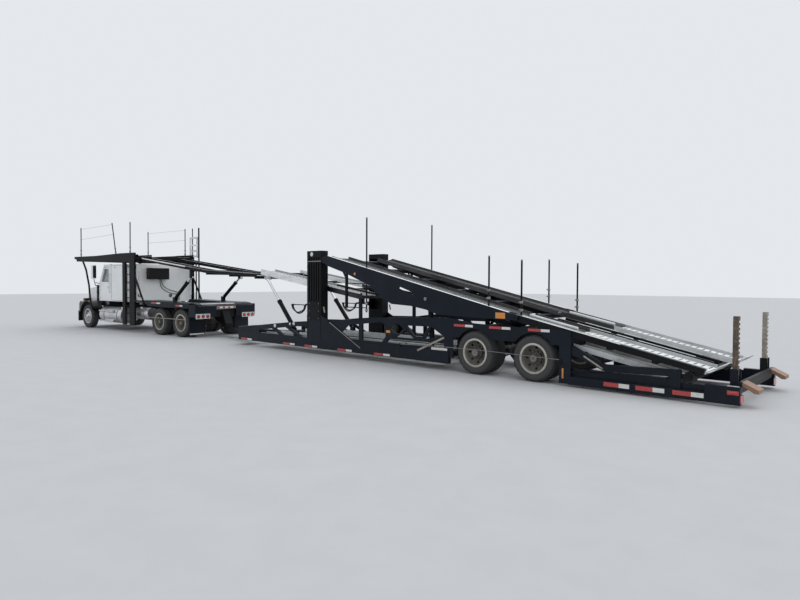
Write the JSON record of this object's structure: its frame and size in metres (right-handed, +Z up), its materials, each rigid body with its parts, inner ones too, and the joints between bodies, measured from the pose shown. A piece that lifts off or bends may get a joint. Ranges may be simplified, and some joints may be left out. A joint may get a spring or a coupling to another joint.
{
  "type": "car transporter truck",
  "caption": "Tractor with a rack over its cab and a hinged trailer with sloping upper decks that carries cars on two levels, parked unloaded with the rear decks lowered.",
  "frame": {"origin": "middle of the bounding box's underside, on the ground", "axes": "+X to the tractor's nose along the trailer, +Y to the driver's side (left), +Z up; the tractor is turned 5.1 degrees to the left about the hitch"},
  "size_m": [25.7099, 3.4585, 4.2542],
  "materials": {
    "frame_paint": "dark, dusty",
    "track_steel": "galvanised, worn",
    "cab_paint": "gloss white",
    "black_plastic": "matt",
    "rim_paint": "cream, chalky",
    "tyre_rubber": "worn",
    "window_glass": "clear",
    "cylinder_paint": "dark",
    "rod_chrome": "polished",
    "tank_metal": "dull",
    "lamp_red": "lens",
    "axle_iron": "dark",
    "ramp_rust": "rusty",
    "post_paint": "worn brown",
    "interior_grey": "grained"
  },
  "bodies": {
    "trailer": {"trailer_frame": "frame_paint", "towers": "frame_paint", "trailer_axles": "axle_iron", "end_ramps": "ramp_rust", "trailer_lamps": "lamp_red"},
    "main_deck": {"main_deck": "frame_paint", "main_deck_tracks": "track_steel"},
    "tail_deck": {"tail_deck": "frame_paint", "tail_deck_tracks": "track_steel"},
    "main_barrel": {"main_barrels": "cylinder_paint"},
    "main_rod": {"main_rods": "rod_chrome"},
    "bridge_deck": {"bridge_deck": "track_steel"},
    "bridge_barrel": {"bridge_barrels": "cylinder_paint"},
    "bridge_rod": {"bridge_rods": "rod_chrome"},
    "tractor": {"tractor_frame": "frame_paint", "tractor_axles": "axle_iron", "cab": "cab_paint", "cab_glass": "window_glass", "sleeper": "cab_paint", "front_bumper": "cab_paint", "air_cleaners": "tank_metal", "fuel_tanks": "tank_metal", "cab_interior": "interior_grey", "engine": "axle_iron", "headrack": "frame_paint", "tractor_tail": "frame_paint", "tractor_lamps": "lamp_red"},
    "hood": {"hood": "cab_paint", "grille": "black_plastic"},
    "tractor_deck": {"tractor_deck": "track_steel"},
    "tractor_barrel": {"tractor_barrels": "cylinder_paint"},
    "tractor_rod": {"tractor_rods": "rod_chrome"},
    "tail_post_left": {"tail_post_left": "post_paint"},
    "door_left": {"door_left": "cab_paint", "door_glass_left": "window_glass"},
    "knuckle_left": {"knuckle_left": "axle_iron"},
    "wheel_front_left": {"tyre_front_left": "tyre_rubber", "rim_front_left": "rim_paint"},
    "wheel_a_left": {"tyres_a_left": "tyre_rubber", "rims_a_left": "rim_paint"},
    "wheel_b_left": {"tyres_b_left": "tyre_rubber", "rims_b_left": "rim_paint"},
    "wheel_c_left": {"tyres_c_left": "tyre_rubber", "rims_c_left": "rim_paint"},
    "wheel_d_left": {"tyres_d_left": "tyre_rubber", "rims_d_left": "rim_paint"},
    "tail_post_right": {"tail_post_right": "post_paint"},
    "door_right": {"door_right": "cab_paint", "door_glass_right": "window_glass"},
    "knuckle_right": {"knuckle_right": "axle_iron"},
    "wheel_front_right": {"tyre_front_right": "tyre_rubber", "rim_front_right": "rim_paint"},
    "wheel_a_right": {"tyres_a_right": "tyre_rubber", "rims_a_right": "rim_paint"},
    "wheel_b_right": {"tyres_b_right": "tyre_rubber", "rims_b_right": "rim_paint"},
    "wheel_c_right": {"tyres_c_right": "tyre_rubber", "rims_c_right": "rim_paint"},
    "wheel_d_right": {"tyres_d_right": "tyre_rubber", "rims_d_right": "rim_paint"}
  },
  "joints": [
    {"name": "hitch_turn", "type": "hinge", "parent": "trailer", "child": "tractor", "pos_m": [4.00505, -0.37088, 0.19], "axis": [0, 0, 1], "range_deg": [-50.1, 39.9]},
    {"name": "main_deck_tilt", "type": "hinge", "parent": "trailer", "child": "main_deck", "pos_m": [-2.75495, -0.37088, 2.52], "axis": [0, 1, 0], "range_deg": [0, 12]},
    {"name": "tail_deck_tilt", "type": "hinge", "parent": "main_deck", "child": "tail_deck", "pos_m": [-8.59495, -0.37088, 1.25], "axis": [0, 1, 0], "range_deg": [0, 13]},
    {"name": "bridge_deck_tilt", "type": "hinge", "parent": "trailer", "child": "bridge_deck", "pos_m": [-3.91495, -0.37088, 1.47], "axis": [0, -1, 0], "range_deg": [-3, 6]},
    {"name": "tractor_deck_tilt", "type": "hinge", "parent": "tractor", "child": "tractor_deck", "pos_m": [7.84977, -0.02775, 2.74], "axis": [-0.0889, 0.996, 0], "range_deg": [-3, 6]},
    {"name": "main_barrel_swing", "type": "hinge", "parent": "trailer", "child": "main_barrel", "pos_m": [-6.35495, -0.37088, 0.44], "axis": [0, 1, 0], "range_deg": [-6.58, 0.5]},
    {"name": "main_rod_slide", "type": "slide", "parent": "main_barrel", "child": "main_rod", "axis": [0.0706, 0, 0.9975], "range_m": [-0.004, 0.74667]},
    {"name": "bridge_barrel_swing", "type": "hinge", "parent": "trailer", "child": "bridge_barrel", "pos_m": [-1.35495, -0.37088, 0.52], "axis": [0, -1, 0], "range_deg": [-4.8, 9.09]},
    {"name": "bridge_rod_slide", "type": "slide", "parent": "bridge_barrel", "child": "bridge_rod", "axis": [0.6755, 0, 0.7374], "range_m": [-0.13925, 0.27449]},
    {"name": "tractor_barrel_swing", "type": "hinge", "parent": "tractor", "child": "tractor_barrel", "pos_m": [5.63856, -0.22509, 1.33], "axis": [-0.0889, 0.996, 0], "range_deg": [-5.27, 10.04]},
    {"name": "tractor_rod_slide", "type": "slide", "parent": "tractor_barrel", "child": "tractor_rod", "axis": [-0.7932, -0.0708, 0.6049], "range_m": [-0.13446, 0.26492]},
    {"name": "tail_post_left_fold", "type": "hinge", "parent": "trailer", "child": "tail_post_left", "pos_m": [-12.49495, 0.64912, 0.52], "axis": [0, -1, 0], "range_deg": [0, 95]},
    {"name": "door_left_swing", "type": "hinge", "parent": "tractor", "child": "door_left", "pos_m": [10.65845, 1.42267, 1.46], "axis": [0, 0, -1], "range_deg": [0, 65]},
    {"name": "steer_left", "type": "hinge", "parent": "tractor", "child": "knuckle_left", "pos_m": [11.79999, 1.1581, 0.492], "axis": [0, 0, 1], "range_deg": [-36, 36]},
    {"name": "wheel_front_left_spin", "type": "hinge", "parent": "knuckle_left", "child": "wheel_front_left", "pos_m": [11.78177, 1.36229, 0.492], "axis": [-0.0889, 0.996, 0], "continuous": true},
    {"name": "wheel_a_left_spin", "type": "hinge", "parent": "trailer", "child": "wheel_a_left", "pos_m": [-7.60495, 0.62312, 0.46], "axis": [0, 1, 0], "continuous": true},
    {"name": "wheel_b_left_spin", "type": "hinge", "parent": "trailer", "child": "wheel_b_left", "pos_m": [-8.99495, 0.62312, 0.46], "axis": [0, 1, 0], "continuous": true},
    {"name": "wheel_c_left_spin", "type": "hinge", "parent": "tractor", "child": "wheel_c_left", "pos_m": [6.26628, 0.78471, 0.492], "axis": [-0.0889, 0.996, 0], "continuous": true},
    {"name": "wheel_d_left_spin", "type": "hinge", "parent": "tractor", "child": "wheel_d_left", "pos_m": [4.92162, 0.6647, 0.492], "axis": [-0.0889, 0.996, 0], "continuous": true},
    {"name": "tail_post_right_fold", "type": "hinge", "parent": "trailer", "child": "tail_post_right", "pos_m": [-12.49495, -1.39088, 0.52], "axis": [0, -1, 0], "range_deg": [0, 95]},
    {"name": "door_right_swing", "type": "hinge", "parent": "tractor", "child": "door_right", "pos_m": [10.87091, -0.95787, 1.46], "axis": [0, 0, 1], "range_deg": [0, 65]},
    {"name": "steer_right", "type": "hinge", "parent": "tractor", "child": "knuckle_right", "pos_m": [11.94755, -0.49533, 0.492], "axis": [0, 0, 1], "range_deg": [-36, 36]},
    {"name": "wheel_front_right_spin", "type": "hinge", "parent": "knuckle_right", "child": "wheel_front_right", "pos_m": [11.96578, -0.69952, 0.492], "axis": [-0.0889, 0.996, 0], "continuous": true},
    {"name": "wheel_a_right_spin", "type": "hinge", "parent": "trailer", "child": "wheel_a_right", "pos_m": [-7.60495, -1.36488, 0.46], "axis": [0, 1, 0], "continuous": true},
    {"name": "wheel_b_right_spin", "type": "hinge", "parent": "trailer", "child": "wheel_b_right", "pos_m": [-8.99495, -1.36488, 0.46], "axis": [0, 1, 0], "continuous": true},
    {"name": "wheel_c_right_spin", "type": "hinge", "parent": "tractor", "child": "wheel_c_right", "pos_m": [6.43517, -1.10777, 0.492], "axis": [-0.0889, 0.996, 0], "continuous": true},
    {"name": "wheel_d_right_spin", "type": "hinge", "parent": "tractor", "child": "wheel_d_right", "pos_m": [5.09052, -1.22778, 0.492], "axis": [-0.0889, 0.996, 0], "continuous": true},
    {"name": "hood_tilt", "type": "hinge", "parent": "tractor", "child": "hood", "pos_m": [12.53116, 0.39006, 0.7], "axis": [-0.0889, 0.996, 0], "range_deg": [0, 55]}
  ],
  "couplings": [
    {"joint": "main_barrel_swing", "follows": "main_deck_tilt", "ratio": -0.5065},
    {"joint": "main_rod_slide", "follows": "main_deck_tilt", "m_per_rad": 3.546},
    {"joint": "bridge_barrel_swing", "follows": "bridge_deck_tilt", "ratio": 1.432},
    {"joint": "bridge_rod_slide", "follows": "bridge_deck_tilt", "m_per_rad": 2.583},
    {"joint": "tractor_barrel_swing", "follows": "tractor_deck_tilt", "ratio": 1.5894},
    {"joint": "tractor_rod_slide", "follows": "tractor_deck_tilt", "m_per_rad": 2.4916},
    {"joint": "steer_right", "follows": "steer_left", "ratio": 1}
  ]
}
